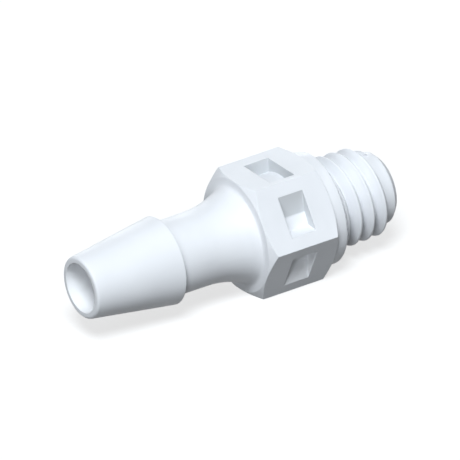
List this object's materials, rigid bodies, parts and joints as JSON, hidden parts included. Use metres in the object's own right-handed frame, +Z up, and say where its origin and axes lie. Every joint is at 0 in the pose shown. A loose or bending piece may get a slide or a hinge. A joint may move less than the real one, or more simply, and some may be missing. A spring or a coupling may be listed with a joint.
{
  "type": "threaded hose barb fitting",
  "caption": "Small moulded plastic tube fitting: a single hose barb at one end, a hexagon with moulded pockets, a seating collar and a short male thread at the other.",
  "frame": {"origin": "on the bore axis, in the plane of the collar face that seats on the port", "axes": "+X along the bore from the barb tip to the thread, +Z square to the hexagon flat opposite the one it lies on, +Y to the left when looking along +X with +Z up"},
  "size_m": [0.0187, 0.0074, 0.0064],
  "materials": {
    "moulded_plastic": "satin white nylon as moulded"
  },
  "bodies": {
    "root": {"fitting_body": "moulded_plastic"}
  },
  "joints": []
}
